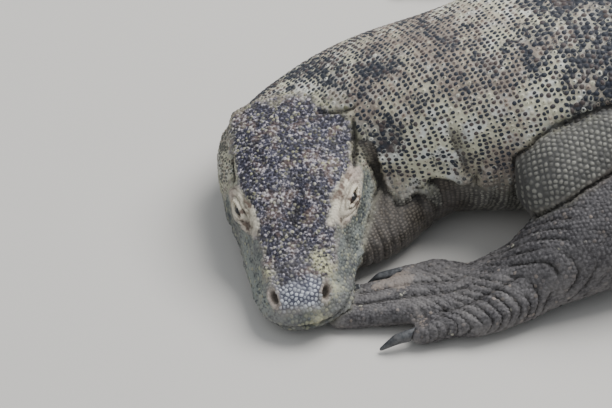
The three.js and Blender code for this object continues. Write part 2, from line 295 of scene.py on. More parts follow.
def even_curve(points, step):
    """A smooth curve through points, as places one step apart."""
    points = np.array(points)
    guide = np.vstack([2 * points[0] - points[1], points, 2 * points[-1] - points[-2]])
    pieces = []
    for before, start, end, after in zip(guide, guide[1:], guide[2:], guide[3:]):
        t = np.linspace(0, 1, 40, endpoint=False)[:, None]
        pieces.append(
            0.5 * (2 * start + (end - before) * t + (2 * before - 5 * start + 4 * end - after) * t**2
                   + (3 * start - before - 3 * end + after) * t**3)
        )
    fine = np.vstack(pieces + [points[-1:]])
    along = np.r_[0, np.cumsum(lengths(np.diff(fine, axis=0)))]
    wanted = np.arange(0, along[-1], step)
    return np.column_stack([np.interp(wanted, along, fine[:, i]) for i in range(3)])


def longest_way(points):
    centre = points.mean(axis=0)
    return np.linalg.svd(points - centre, full_matrices=False)[2][0]


def straight_axis(name, step, overrun=4 * MM):
    """The line down the middle of a CAD node, from end to end."""
    points = node_points(name)
    way = longest_way(points)
    centre = points.mean(axis=0)
    shares = (points - centre) @ way
    return centre + np.arange(shares.min() - overrun, shares.max() + overrun, step)[:, None] * way


# ---------------- the middle lines of the body's parts
def nearest_on(line, points):
    """For each point, the index of the nearest place of a line."""
    tree = kd_tree(line)
    return np.array([tree.find(p)[1] for p in points])


def spine_line():
    """The middle of the body, from inside the skull to the tail's tip."""
    skull = node_points("head").mean(axis=0)
    points = [skull + SPINE_START, skull]
    for name, following in zip(TRUNK, TRUNK[1:] + [None]):
        if name != "neck":
            points.append(node_points(name).mean(axis=0))
        if following:
            points.append(junction(name, following))
    last = node_points(TRUNK[-1])
    points.append(last[np.argmax(lengths(last - points[-2]))])
    return even_curve(points, LINE_STEP)


spine = spine_line()


# ---------------- the bare skin
def trunk_softness(places):
    girth = lengths(places - spine[nearest_on(spine, places)])
    return SOFT * np.clip((girth / THICK) ** 2, 0.02, 1)


def leg_softness(places, feet):
    on_foot = np.zeros(len(places), bool)
    for foot in feet:
        tree = tree_of(frame["nodes"][foot].data)
        on_foot |= np.array([tree.find_nearest(p)[3] < 4 * MM for p in places])
    return np.where(on_foot, FOOT_SOFT, SOFT)


def bare_skin():
    """One soft shell round all the flesh, its creases kept where the limbs and head meet the body."""
    blocks = [
        soft_block(TRUNK + HEAD + list(EYES), **TRUNK_BLOCK, amount=trunk_softness),
        soft_block(HEAD + list(EYES), **HEAD_BLOCK),
    ]
    for names in leg_nodes.values():
        amount = lambda places: leg_softness(places, names[2:])
        blocks.append(soft_block(names, **LEG_BLOCK, amount=amount, foot=names[2]))
    skin = fused(joined(blocks, "blocks"), SKIN_CELL)
    places = vertices_of(skin)
    softness = leg_softness(places, [names[2] for names in leg_nodes.values()])
    move_vertices(skin, relax(places, edges_of(skin), 4, softness))
    return skin


def divide(mesh, chosen):
    """Halves the faces whose vertices are all chosen."""
    fine = bmesh.new()
    fine.from_mesh(mesh)
    fine.verts.ensure_lookup_table()
    edges = [e for e in fine.edges if chosen[e.verts[0].index] and chosen[e.verts[1].index]]
    bmesh.ops.subdivide_edges(fine, edges=edges, cuts=1, use_grid_fill=True, smooth=1.0)
    bmesh.ops.triangulate(fine, faces=[f for f in fine.faces if len(f.verts) > 4])
    fine.to_mesh(mesh)
    fine.free()


skin_mesh = bare_skin()


# ---------------- what lies where
def owner_finder():
    """A tree of all the CAD flesh, and the index in flesh_nodes of each of its faces."""
    places, corners, owners = [], [], []
    for i, name in enumerate(flesh_nodes):
        mesh = frame["nodes"][name].data
        first = len(places)
        places += [tuple(p) for p in vertices_of(mesh)]
        corners += [tuple(first + v for v in face.vertices) for face in mesh.polygons]
        owners += [i] * len(mesh.polygons)
    return BVHTree.FromPolygons(places, corners), np.array(owners)


flesh_tree, face_owner = owner_finder()


def owner_of(points):
    return np.array([face_owner[flesh_tree.find_nearest(p)[2]] for p in points])


def numbers_of(names):
    return [flesh_nodes.index(name) for name in names]


def mouth_level(back):
    """How high the lips meet, by the distance back from the snout's tip, in mm."""
    return np.interp(back, [0, 10, 40, 80, 116, 128], [14.5, 14.5, 18, 22, 31, 26])


def crown_edge(back):
    """Half the width of the dark plate on top of the head, in mm."""
    return np.interp(back, [0, 14, 30, 60, 80, 100, 125, 150, 190], [13, 18, 24, 31, 33, 40, 45, 47, 46])


NOSTRIL = {"at": (19.3, 15.8, 35.2), "way": (0.3, 0.75, 0.62), "out": (0.42, -0.6, 0.68)}
NOSTRIL_HALF = (6.0, 3.0)  # mm, along and across


def nostril_distance(head):
    """1 on the rim of a nostril, 0 in its middle, and the distance grows evenly outside."""
    side = np.sign(head[:, :1])
    way = unit(NOSTRIL["way"])
    out = unit(NOSTRIL["out"])
    away = head * np.hstack([side, np.ones((len(head), 2))]) - NOSTRIL["at"]
    across = np.cross(out, way)
    flat = np.hypot(away @ way / NOSTRIL_HALF[0], away @ across / NOSTRIL_HALF[1])
    return np.where(np.abs(away @ out) < 9, flat, 99)


def eye_places(points):
    """Places in the nearer eye's own directions, in mm: along its slit, across it upwards, and out."""
    nearest = np.full((len(points), 3), 999.0)
    for name, side in EYES.items():
        local = (points - eye_centres[name]) @ eye_axes(side).T / MM * [1, side, 1]
        closer = lengths(local) < lengths(nearest)
        nearest[closer] = local[closer]
    return nearest


class Hide:
    """Where a set of places on the hide lies: in the head, along the body and in each zone."""

    def __init__(self, points, normals, edges):
        self.points = points
        self.normals = normals
        self.head = in_head(points) / MM
        self.eye = eye_places(points)
        self.owner = owner_of(points)
        self.nostril = nostril_distance(self.head)
        self.along = nearest_on(spine, points) * LINE_STEP / MM

        def soft(names, rounds):
            return relax(np.isin(self.owner, numbers_of(names)) * 1.0, edges, rounds)[:, 0]

        self.on_head = soft(HEAD, 8)
        self.on_limb = soft([n for names in leg_nodes.values() for n in names[1:]], 14)
        self.on_upper = soft([names[0] for names in leg_nodes.values()], 10)
        self.on_foot = soft([names[2] for names in leg_nodes.values()], 6)
        self.on_neck = soft(["neck"], 8)

    def noise(self, size, seed):
        """Soft noise from 0 to 1 over the hide, its blobs about `size` mm across."""
        return cloud(self.points, size * MM, seed)

    def fold_shade(self, raised):
        """Painted shade: how deep in a fold each place lies, from 0 to 1, by how far the relief raises it.
        """
        line, strength = wrist_lines(self)
        folded = np.maximum(ease(-1.0, -2.8, raised / MM), strength * ease(0.60, 0.84, line))
        # Painted shade also darkens the lids in the creases that run beside the slit, and at their front
        # corner.
        x, y, z = self.eye.T
        ring = np.hypot(x / 2.6, y) + 1.2 * (self.noise(6, 24) - 0.5)
        creased = np.where(y > 0, hump(ring - 5.4, 0.7) + hump(ring - 8.0, 0.7), hump(ring - 4.6, 0.6))
        corner = hump(np.hypot(x + 19, y - 2), 4.5)
        lids = np.maximum(0.55 * creased, 0.6 * corner) * (z > 0) * self.on_head * (np.hypot(x, y) < 30)
        return np.maximum(folded, lids) * (1 - 0.35 * ease(1.6, 1.0, self.nostril))

    def zones(self):
        """The soft masks that the markings follow."""
        side, back, up = self.head.T
        wide = np.abs(side)
        x, y, z = self.eye.T
        ragged = 0.5 * (self.noise(5, 21) - 0.5) + 0.4 * (self.noise(12, 22) - 0.5)
        half = np.where(side > 0, 10.5, 8.5)
        round_eye = np.hypot((x + 3) / 25, (y - 0.32 * half) / half)
        lid = ease(1.2, 0.85, round_eye + 0.8 * ragged) * (z > 0) * self.on_head
        lid = np.maximum(lid, 0.6 * ease(1.75, 1.15, self.nostril + ragged) * self.on_head)
        # The head's colours end at the nape, further forward on the side that the neck bends to.
        before_nape = ease(8, -8, back + 30 * ragged - 178 + 0.7 * np.maximum(side - 5, 0))
        skull = np.clip(self.on_head + self.on_neck * ease(50, 75, up), 0, 1) * before_nape
        inside = ease(3, -3, wide - crown_edge(back) + 14 * ragged)
        crown = inside * ease(3, 9, back) * ease(20, 29, up) * skull * (1 - lid)
        jowl = ease(104, 124, back + 40 * ragged) * ease(34, 50, up + 20 * ragged)
        lip = self.on_head * before_nape * (1 - crown) * (1 - lid) * (1 - 0.85 * jowl)
        # The underside, low on the body: its colours below carry painted shade as well as their own tiles.
        level = self.points[:, 2] / np.maximum(np.interp(self.along, BACK_PLACE, BACK_LEVEL), 1) / MM
        under = ease(0.50, 0.30, level + 0.1 * (self.noise(40, 3) - 0.5)) * (1 - self.on_head)
        below_fold = ease(2, -4, beside_line(self.points, NECK_FOLD)[0] + 8 * ragged)
        throat = self.on_neck * ease(140, 110, side) * ease(150, 120, back) * ease(90, 75, up) * below_fold
        throat = throat * (1 - self.on_head)
        snout = ease(27, 20, back + 22 * ragged) * ease(20, 14, wide) * crown
        return {
            "crown": crown,
            "lip": lip,
            "lid": lid,
            "snout": snout,
            "limb": np.clip(self.on_limb, 0, 1),
            "upper": np.clip(self.on_upper, 0, 1),
            "under": under,
            "throat": throat,
        }


BACK_PLACE = [0, 200, 700, 1000, 1300, 2300]  # mm along the spine
BACK_LEVEL = [85, 150, 170, 130, 80, 10]  # mm: how high the back is along the spine


# ---------------- relief of the skin
# The numbers of the relief are in mm: how deep or high a form is, how wide, and where it begins and ends.
# The line of the hanging fold of skin at the side of the neck, from behind the jowl to the shoulder.
NECK_FOLD = np.array([
    (-622, -272, 80), (-619, -277, 70), (-616, -281, 60), (-612, -289, 52), (-605, -297, 46),
    (-599, -297, 46), (-590, -292, 50), (-580, -288, 60), (-568, -289, 60), (-558, -289, 55),
    (-548, -290, 60), (-542, -289, 72), (-534, -287, 84),
]) * MM


def beside_line(points, line, up=(0.6, 0.5, 0.62)):
    """Each point's distance from a line in mm, positive above it, and its share of the way along."""
    fine = even_curve(line, 1 * MM)
    at = nearest_on(fine, points)
    away = points - fine[at]
    return lengths(away) * np.sign(away @ unit(up)) / MM, at / (len(fine) - 1)


def slit_height(x):
    """Half the height of the slit between the lids at a place along it, in mm."""
    return SLIT_HALF_HEIGHT / MM * (1 - np.clip(x / (SLIT_HALF_LENGTH / MM), -1, 1) ** 2)


def lid_relief(hide, facing, ring):
    """The slit between the lids, the lids' margins, and the long creases beside them."""
    x, y, _ = hide.eye.T
    share = np.abs(x / (SLIT_HALF_LENGTH / MM))
    over = np.abs(y) - slit_height(x) + 3 * ease(0.9, 1.3, share)
    slit = np.where(share < 1, -4.6 * ease(0.35, -0.35, over), 0)
    margin = 1.2 * hump(over - 1.4, 1.0) * ease(1.5, 1.1, share)
    pitch = np.where(y > 0, 3.4, 2.8)
    wave = np.abs(np.sin(np.pi * (ring + 2.4 * hide.noise(9, 5)) / pitch)) ** 0.6
    creases = 1.7 * (wave - 0.8) * ease(3.2, 4.6, ring)
    return np.where(facing, slit + margin + creases * ease(np.where(y > 0, 14, 9), 7, ring), 0)


def head_relief(hide):
    """The head's lumps, mouth, nostrils, crown and lids."""
    side, back, up = hide.head.T
    wide = np.abs(side)
    x, y, z = hide.eye.T
    lumps = 1.5 * (hide.noise(9, 1) - 0.5) + 1.1 * (hide.noise(4, 2) - 0.5)
    below = up - mouth_level(back)
    lips = -3.2 * hump(below, 1.3) + 1.5 * hump(below - 5, 3) + 0.6 * hump(below + 4, 2.5)
    mouth = ease(128, 112, back) * lips
    hole = -6.5 * ease(1.1, 0.5, hide.nostril) + 1.6 * hump(hide.nostril - 1.45, 0.4)
    # The crown's edge stands out along the snout and behind the eye, over a hollow cheek.
    beyond = wide - crown_edge(back)
    on_snout = ease(18, 30, back) * ease(88, 70, back) * ease(26, 34, up)
    ridge = on_snout * (1.6 * hump(beyond + 2.5, 4) - 1.2 * hump(beyond - 7, 6))
    behind_eye = ease(100, 125, back) * ease(60, 68, up)
    ledge = behind_eye * (2.0 * hump(beyond + 2, 4) - 1.2 * hump(beyond - 5, 3))
    furrow = -1.6 * hump(wide, 7) * ease(30, 50, back) * ease(120, 90, back) * ease(30, 40, up)
    temple = 0.6 * np.sin(wide / 1.1 + 3 * hide.noise(12, 4)) * hump(wide - 52, 6) * hump(back - 100, 22)
    facing = (z > 2) & (np.hypot(x, y) < 30)
    ring = np.hypot(x / 2.6, y)
    total = lumps + mouth + hole + ridge + ledge + furrow + temple * (1 - hump(ring, 9) * facing)
    return (total * (1 - ease(12, 4, ring) * facing * 0.8) + lid_relief(hide, facing, ring)) * hide.on_head


def nape_relief(hide):
    """The ear's crease, the crease across the nape and the one round the jaw, on the head and the neck."""
    side, back, up = hide.head.T
    wide = np.abs(side)
    ear = -3.8 * hump(wide - 46, 2.0) * ease(106, 116, back) * ease(148, 134, back) * ease(50, 62, up)
    nape = -2.4 * hump(back - 151 - 2 * np.sin(side / 9), 1.8)
    nape = nape * ease(10, 22, side) * ease(54, 46, side) * ease(60, 66, up)
    jaw = -2.4 * hump((hide.on_head - 0.5) / 0.25, 1)
    jaw = jaw * ease(60, 80, back) * ease(150, 130, back) * ease(70, 55, up)
    return (ear + nape + jaw) * np.clip(hide.on_head + hide.on_neck, 0, 1)


def neck_relief(hide):
    """The fold at the side of the neck, the pleats of the throat and the soft waves behind the head."""
    side, back, up = hide.head.T
    above, share = beside_line(hide.points, NECK_FOLD)
    ends = ease(0, 0.1, share) * ease(1, 0.85, share)
    bulge = 4.0 * ease(0, 3, above) * np.exp(-above / 18)
    fold = np.where(above > 0, bulge, -2.4 * np.exp(above / 5)) * ends
    wander = 9 * hide.noise(26, 6)
    pleats = 1.7 * np.abs(np.sin(np.pi * (side + wander + 0.18 * back) / 9.5)) - 1
    pleats = pleats * hide.on_neck * ease(175, 140, back) * ease(108, 84, side)
    pleats = pleats * ease(46, 30, side - 40) * ease(66, 44, up)
    low = ease(95, 45, hide.points[:, 2] / MM)
    waves = 0.9 * np.sin(2 * np.pi * (hide.along + 3 * wander) / 15)
    waves = waves * ease(120, 150, hide.along) * ease(330, 220, hide.along)
    return fold + pleats + waves * low * (1 - hide.on_head) * (1 - hide.on_limb) * (1 - hide.on_upper)


# The creases of the wrist lie on arcs round a centre behind the forearm.
WRIST = {
    "middle": np.array([-0.528, -0.365, 0.03]),
    "reach": 64 * MM,
    "centre": np.array([-0.432, -0.2235]),
}


def wrist_lines(hide):
    """How near each place is to a crease of the wrist, and how strong the creases are there."""
    far = lengths(hide.points[:, :2] - WRIST["centre"]) / MM + 0.3 * hide.points[:, 2] / MM
    count = 0.0495 * far + 0.000342 * far**2 + 0.5 * hide.noise(26, 7)
    line = 1 - np.abs(np.sin(np.pi * count))
    away = lengths(hide.points - WRIST["middle"]) / WRIST["reach"]
    broken = ease(0.15, 0.5, hide.noise(14, 23))
    on_hand = np.interp(hide.points[:, 0], [-0.62, -0.54], [0.35, 1])
    return line, ease(1.5, 0.75, away) * np.clip(hide.on_limb, 0, 1) * broken * on_hand


# The furrows between the digits of the hand under the chin, in plan.
FURROWS = [
    [(-0.556, -0.3565), (-0.595, -0.358), (-0.640, -0.3635)],
    [(-0.556, -0.3685), (-0.597, -0.372), (-0.648, -0.3755)],
    [(-0.522, -0.3720), (-0.555, -0.3835), (-0.576, -0.3865)],
]


def furrow_relief(hide):
    """The furrows between the digits that lie close together."""
    plan = hide.points * [1, 1, 0]
    deep = np.zeros(len(plan))
    for furrow in FURROWS:
        line = even_curve(np.array([(x, y, 0) for x, y in furrow]), 1 * MM)
        away = lengths(plan - line[nearest_on(line, plan)]) / MM
        deep = np.minimum(deep, 0.8 * hump(away - 5, 3.5) - 2.4 * hump(away, 1.8))
    return deep * hide.on_foot * ease(-0.1, 0.3, hide.normals[:, 2])


def limb_relief(hide):
    """Creases across the near wrist, finer ones on the other limbs, and deep ones at the joints."""
    line, strength = wrist_lines(hide)
    deep = -2.8 * strength * line**3
    across = hide.points @ unit((0.6, 0.3, 0.7)) / MM + 20 * hide.noise(18, 8)
    fine = 0.4 * (np.abs(np.sin(np.pi * across / 9)) - 1)
    pit = -4.5 * hump((hide.on_upper - 0.45) / 0.22, 1) * (1 - hide.on_limb)
    elbow = -2.4 * hump((hide.on_limb - 0.5) / 0.2, 1) * ease(0.05, 0.3, hide.on_upper)
    chin = -3.0 * hump((hide.on_foot - 0.5) / 0.25, 1) * ease(0.1, 0.4, hide.on_head)
    return deep + fine * hide.on_limb * (1 - strength) + pit + elbow + chin + furrow_relief(hide)


def relief(hide):
    """How far the hide stands out from the bare skin, in metres."""
    flesh = 2.2 * (hide.noise(45, 9) - 0.5) * (1 - hide.on_head) * (1 - hide.on_foot)
    return (head_relief(hide) + nape_relief(hide) + neck_relief(hide) + limb_relief(hide) + flesh) * MM


def near_lips(head, gap, last, widest):
    """The places within a gap of the line between the lips, so far back and out, in mm."""
    side, back, up = head.T
    return (np.abs(up - mouth_level(back)) < gap) & (back < last) & (np.abs(side) < widest)


def fine_areas(mesh):
    """Divides the skin once over the head and the near arm, and again where the smallest relief is."""
    points = vertices_of(mesh)
    head = in_head(points) / MM
    near_head = (np.abs(head[:, 0]) < 75) & (head[:, 1] < 175)
    near_arm = lengths(points - WRIST["middle"]) < 115 * MM
    divide(mesh, near_head | near_arm)
    points = vertices_of(mesh)
    head = in_head(points) / MM
    x, y, z = eye_places(points).T
    at_eye = (np.hypot(x, y) < 19) & (z > 0)
    at_nostril = nostril_distance(head) < 3.2
    divide(mesh, at_eye | at_nostril | near_lips(head, 6, 120, 64))
    for half_length, half_height in [(11.5, 6), (10.5, 4.6)]:
        x, y, z = eye_places(vertices_of(mesh)).T
        divide(mesh, (np.abs(x) < half_length) & (np.abs(y) < half_height) & (z > 0))
    move_vertices(mesh, relax(vertices_of(mesh), edges_of(mesh), 2, 0.4))


fine_areas(skin_mesh)
hide = Hide(vertices_of(skin_mesh), normals_of(skin_mesh), edges_of(skin_mesh))
raised = relief(hide)
# How much painted shade each place gets in the folds, from 0 to 1.
skin_fold_shade = hide.fold_shade(raised)
skin_places = hide.points + hide.normals * (raised - COAT)[:, None]
skin_places[:, 2] = np.maximum(skin_places[:, 2], LOWEST)
move_vertices(skin_mesh, skin_places)


# ---------------- where the scales grow
class Surface:
    """The finished skin, which finds the nearest places on itself."""

    def __init__(self, mesh):
        self.corners = [tuple(face.vertices) for face in mesh.polygons]
        self.places = vertices_of(mesh)
        self.normals = normals_of(mesh)
        self.tree = tree_of(mesh)

    def land(self, points):
        """The nearest places on the skin, how far they are, and three skin vertices round each."""
        found = [self.tree.find_nearest(p) for p in points]
        places = np.array([f[0] for f in found])
        away = np.array([f[3] for f in found])
        round_it = np.array([self.corners[f[2]][:3] for f in found])
        return places, away, round_it


RAYS = 40  # on each side of a row


def rows_round(tree, line, pitch, row_step, reach=1.0):
    """Staggered rows of places round a line, where its rays meet a surface, and the way along there."""
    ways = unit(np.gradient(line, axis=0))
    turns = np.linspace(0, np.pi, RAYS)
    step = max(1, round(row_step / LINE_STEP))
    spots, alongs = [], []
    for row, at in enumerate(range(0, len(line), step)):
        way = ways[at]
        lift = unit(UP - (UP @ way) * way)
        for side in (1, -1):
            left = side * np.cross(way, lift)
            rays = np.cos(turns)[:, None] * lift + np.sin(turns)[:, None] * left
            hits = [tree.ray_cast(line[at], ray, reach)[0] for ray in rays]
            arc = np.array([tuple(hit) for hit in hits if hit is not None])
            if len(arc) < 3:
                continue
            length = np.r_[0, np.cumsum(lengths(np.diff(arc, axis=0)))]
            first = 0.5 if row % 2 else (0 if side == 1 else 1)
            wanted = (np.arange(first, length[-1] / pitch)) * pitch
            spots.append(np.column_stack([np.interp(wanted, length, arc[:, i]) for i in range(3)]))
            alongs.append(np.broadcast_to(way, (len(wanted), 3)))
    return np.vstack(spots), np.vstack(alongs)


def thinned(points, gaps):
    """Which places stay when each keeps its gap from those before it."""
    tree = kd_tree(points)
    kept = np.ones(len(points), bool)
    for i, p in enumerate(points):
        if kept[i]:
            for _, j, _ in tree.find_range(p, gaps[i]):
                if j > i:
                    kept[j] = False
    return kept


# How far apart the scales of a row are, in mm, by part.
BACK_PITCH = {"neck": 3.4, "chest": 4.2, "belly_front": 5.0, "belly_rear": 6.2, "hips": 6.0}
TAIL_PITCH = 6.2
BELOW_SHARE = {"neck": 0.74, "chest": 0.80}  # the scales below, to those above them
BELOW_REST = 0.92  # the same for the other parts
UPPER_SHARE = 1.25  # the scales of the upper arm and thigh, to those of the rest of the limb
LIMB_PITCH = {"front_left": 3.3, "front_right": 4.4, "hind_left": 5.0, "hind_right": 5.0}
FINGER_PITCH = {"front_left": 2.8, "front_right": 3.6, "hind_left": 4.2, "hind_right": 4.2}


def claw_line(claw, foot):
    """The line down a digit, from its claw back towards the middle of the foot."""
    points = node_points(claw)
    palm = node_points(foot).mean(axis=0)
    root = points[np.argsort(lengths(points - palm))[:4]].mean(axis=0)
    way = unit((palm - root) * [1, 1, 0])
    return root + np.arange(-3 * MM, 60 * MM, LINE_STEP)[:, None] * way


def row_places(surface):
    """Every row scale that could grow: place, way along, pitch, the parts it may grow on, and the side."""
    found = []

    def add(line, pitch, row_share, parts, reach=1.0, below=None):
        spots, alongs = rows_round(surface.tree, line, pitch * MM, pitch * row_share * MM, reach)
        found.append((spots, alongs, np.full(len(spots), pitch * MM), numbers_of(parts), below))

    for name in TRUNK:
        pitch = BACK_PITCH.get(name, TAIL_PITCH)
        add(spine_of(name), pitch, 1.08, [name], below=False)
        add(spine_of(name), pitch * BELOW_SHARE.get(name, BELOW_REST), 1.0, [name], below=True)
    for leg, names in leg_nodes.items():
        for claw in claw_nodes:
            if claw.startswith(leg):
                add(claw_line(claw, names[2]), FINGER_PITCH[leg], 0.95, names[2:], 16 * MM)
        add(straight_axis(names[2], LINE_STEP), FINGER_PITCH[leg], 0.95, names[2:])
        add(straight_axis(names[1], LINE_STEP), LIMB_PITCH[leg], 0.9, names[1:2])
        add(straight_axis(names[0], LINE_STEP), LIMB_PITCH[leg] * UPPER_SHARE, 1.0, names[:1])
    return found


def spine_of(name, overrun=12):
    """The length of the spine that runs through a CAD node."""
    at = nearest_on(spine, node_points(name))
    return spine[max(0, at.min() - overrun): at.max() + overrun]


def head_pitch(head, eye, nostril):
    """How far apart the head's scales are, in metres."""
    side, back, up = head.T
    x, y, z = eye.T
    ring = np.where(z > 0, np.hypot(x / 1.8, y), 99)
    pitch = np.interp(back, [0, 30, 48, 120, 190], [4.3, 4.2, 2.9, 2.7, 3.2])
    pitch = np.where(np.abs(side) > crown_edge(back), np.minimum(pitch, 3.0), pitch)
    pitch = np.minimum(pitch, np.interp(ring, [2, 8, 16], [1.6, 1.9, 3.0]))
    return np.minimum(pitch, np.interp(nostril, [1, 2.0], [1.8, 4.2])) * MM


HEAD_UNEVEN = (0.82, 1.2)  # the smallest and the largest of the head's scales, to their pitch
HEAD_GAP = 0.80  # how close they may start, in shares of their pitch
PUSHES = 8  # how many times they push each other apart
PUSH = 0.28  # how much of each overlap one push takes away


def head_places(surface, count=90000):
    """Scales of uneven size on the head, pushed apart until they lie evenly."""
    on_head = np.isin(hide.owner, numbers_of(HEAD))
    corners = np.array([c[:3] for c in surface.corners if on_head[c[0]]])
    fourths = np.array([(c[0], c[2], c[3]) for c in surface.corners if on_head[c[0]] and len(c) == 4])
    triangles = surface.places[np.vstack([corners, fourths])]
    one_side, other_side = (triangles[:, i] - triangles[:, 0] for i in (1, 2))
    area = lengths(np.cross(one_side, other_side))
    chosen = rng.choice(len(area), count, p=area / area.sum())
    a, b = rng.random((2, count, 1))
    a, b = np.where(a + b > 1, 1 - a, a), np.where(a + b > 1, 1 - b, b)
    spots = triangles[chosen, 0] + a * one_side[chosen] + b * other_side[chosen]
    pitch = head_pitch(in_head(spots) / MM, eye_places(spots), nostril_distance(in_head(spots) / MM))
    pitch = pitch * rng.uniform(*HEAD_UNEVEN, count)
    kept = thinned(spots, pitch * HEAD_GAP)
    spots, pitch = spots[kept], pitch[kept]
    for _ in range(PUSHES):
        away = spots[:, None] - spots[neighbours(spots, 6)]
        gap = lengths(away)[:, :, None]
        push = np.maximum(pitch[:, None, None] * 1.02 - gap, 0) * away / np.maximum(gap, 1e-9)
        spots = surface.land(spots + PUSH * push.sum(axis=1))[0]
    return spots, pitch


def neighbours(points, count):
    """The indices of each place's nearest others."""
    tree = kd_tree(points)
    return np.array([[j for _, j, _ in tree.find_n(p, count + 1)[1:]] for p in points])


ROW_STRAY = 0.13  # how far a row scale strays from its row, in shares of its pitch
ROW_REACH = 7.5 * MM  # a row scale that lies further from the skin is left out
CLOSEST = 0.66  # how close two scales may be, in shares of their pitch


def scale_places(surface):
    """All the scales: place, way along, pitch and the three skin vertices round each."""
    spots, alongs, pitches = [], [], []
    is_below = np.maximum(zones["under"], zones["throat"]) > 0.5
    for found, ways, pitch, parts, below in row_places(surface):
        strayed = found + rng.normal(0, ROW_STRAY, found.shape) * pitch[:, None]
        places, away, round_it = surface.land(strayed)
        good = (away < ROW_REACH) & np.isin(hide.owner[round_it[:, 0]], parts)
        if below is not None:
            good &= is_below[round_it[:, 0]] == below
        spots.append(places[good])
        alongs.append(ways[good])
        pitches.append(pitch[good])
    head_spots, pitch = head_places(surface)
    spots.append(head_spots)
    alongs.append(np.broadcast_to(head_back, head_spots.shape))
    pitches.append(pitch)
    spots, alongs, pitches = np.vstack(spots), np.vstack(alongs), np.concatenate(pitches)
    open_skin = ~in_an_opening(spots)
    spots, alongs, pitches = spots[open_skin], alongs[open_skin], pitches[open_skin]
    kept = thinned(spots, pitches * CLOSEST)
    spots, alongs, pitches = spots[kept], alongs[kept], pitches[kept]
    return spots, alongs, pitches, surface.land(spots)[2]


def in_an_opening(points):
    """Where nothing grows: between the lids, in the nostrils and between the lips."""
    head = in_head(points) / MM
    x, y, z = eye_places(points).T
    in_slit = (z > 0) & (np.abs(x) < SLIT_HALF_LENGTH / MM) & (np.abs(y) < slit_height(x) + 0.5)
    return in_slit | near_lips(head, 1.1, 118, 62) | (nostril_distance(head) < 1.02)


surface = Surface(skin_mesh)
zones = hide.zones()
scale_at, scale_along, scale_pitch, scale_round = scale_places(surface)


# ---------------- markings
TAN_PATCH = np.array([-0.607, -0.350, 0.019])  # on the back of the hand
# The yellow patches of the snout: the place of each in the head, and its reach, in mm.
YELLOW_PATCHES = [
    ((21, 31, 43), 7),
    ((25, 20, 33), 6),
    ((15, 41, 47), 6),
    ((-23, 33, 43), 5),
    ((12, 2, 20), 7),
]


def markings(hide, zones):
    """The spots: 0 is a plain scale and 1 is dark to its rim. On limbs and head, a coloured patch."""
    broad = hide.noise(75, 11) - 0.5
    patch = hide.noise(28, 12) - 0.5
    fine = hide.noise(9, 13) - 0.5
    high = ease(50, 100, hide.points[:, 2] / MM)
    rear = ease(235, 300, hide.along + 90 * broad) * (0.3 + 0.7 * high)
    behind_head = ease(190, 110, hide.along)
    spot = 0.72 + 0.42 * patch + 0.45 * fine + 0.2 * broad + 0.29 * rear + 0.16 * behind_head
    tan = ease(19, 9, lengths(hide.points - TAN_PATCH) / MM + 14 * fine)
    tan = np.maximum(tan, 0.35 * ease(0.16, 0.34, patch)) * hide.on_foot
    yellow = sum(hump(lengths(hide.head - at) / reach, 1) for at, reach in YELLOW_PATCHES)
    face = np.clip(zones["crown"] + zones["lip"] + zones["lid"], 0, 1)
    spot = spot * (1 - hide.on_limb) * (1 - face) + tan * hide.on_limb + yellow * face
    return np.clip(spot, 0, 1.4)


def mean_of(values, round_it):
    return values[round_it].mean(axis=1)


skin_spot = markings(hide, zones)


# ---------------- meshes
def mesh_of(name, places, triangles):
    mesh = bpy.data.meshes.new(name)
    mesh.vertices.add(len(places))
    mesh.vertices.foreach_set("co", places.ravel())
    mesh.loops.add(triangles.size)
    mesh.loops.foreach_set("vertex_index", triangles.ravel().astype(np.int32))
    mesh.polygons.add(len(triangles))
    mesh.polygons.foreach_set("loop_start", np.arange(0, triangles.size, 3, dtype=np.int32))
    mesh.update(calc_edges=True)
    mesh.shade_smooth()
    return mesh


def store(mesh, name, columns):
    """Keeps up to four masks as one colour attribute."""
    block = np.zeros((len(mesh.vertices), 4), np.float32)
    for i, column in enumerate(columns):
        block[:, i] = column
    mesh.attributes.new(name, "FLOAT_COLOR", "POINT").data.foreach_set("color", block.ravel())


def store_markings(mesh, zones, bead):
    store(mesh, "bead", bead)
    store(mesh, "head_zone", [zones["crown"], zones["lip"], zones["lid"], zones["snout"]])
    store(mesh, "body_zone", [zones["limb"], zones["upper"], zones["under"], zones["throat"]])


SIDES = 8  # of a scale
FILLED = 0.95  # how much of its room a scale fills
WIDEST, NARROWEST = 0.66, 0.2  # how far a scale may reach, and must, in shares of its pitch
PATCH = 0.003  # how wide a scale is on the unwrapped hide
# The rings of a scale, from its top to its sunk rim: share of its reach, share of its height.
BEAD = [(0.0, 1.0), (0.55, 0.78), (1.0, -0.35)]


def reach_of(spots, alongs, normals, pitches):
    """How far each scale reaches in each direction before it meets a neighbour's half."""
    across = unit(np.cross(normals, alongs))
    ahead = np.cross(across, normals)
    near = neighbours(spots, 9)
    away = spots[near] - spots[:, None]
    flat = np.stack([np.einsum("ijk,ik->ij", away, way) for way in (ahead, across)], axis=2)
    square = (flat**2).sum(axis=2)
    angles = 2 * np.pi * (np.arange(SIDES) + 0.5) / SIDES
    ways = np.column_stack([np.cos(angles), np.sin(angles)])
    facing = np.einsum("ijk,sk->ijs", flat, ways)
    with np.errstate(divide="ignore", invalid="ignore"):
        limit = np.where(facing > 1e-7, square[:, :, None] / 2 / facing, 1.0)
    reach = np.minimum(limit.min(axis=1), WIDEST * pitches[:, None])
    return np.maximum(reach, NARROWEST * pitches[:, None]), ahead, across, ways


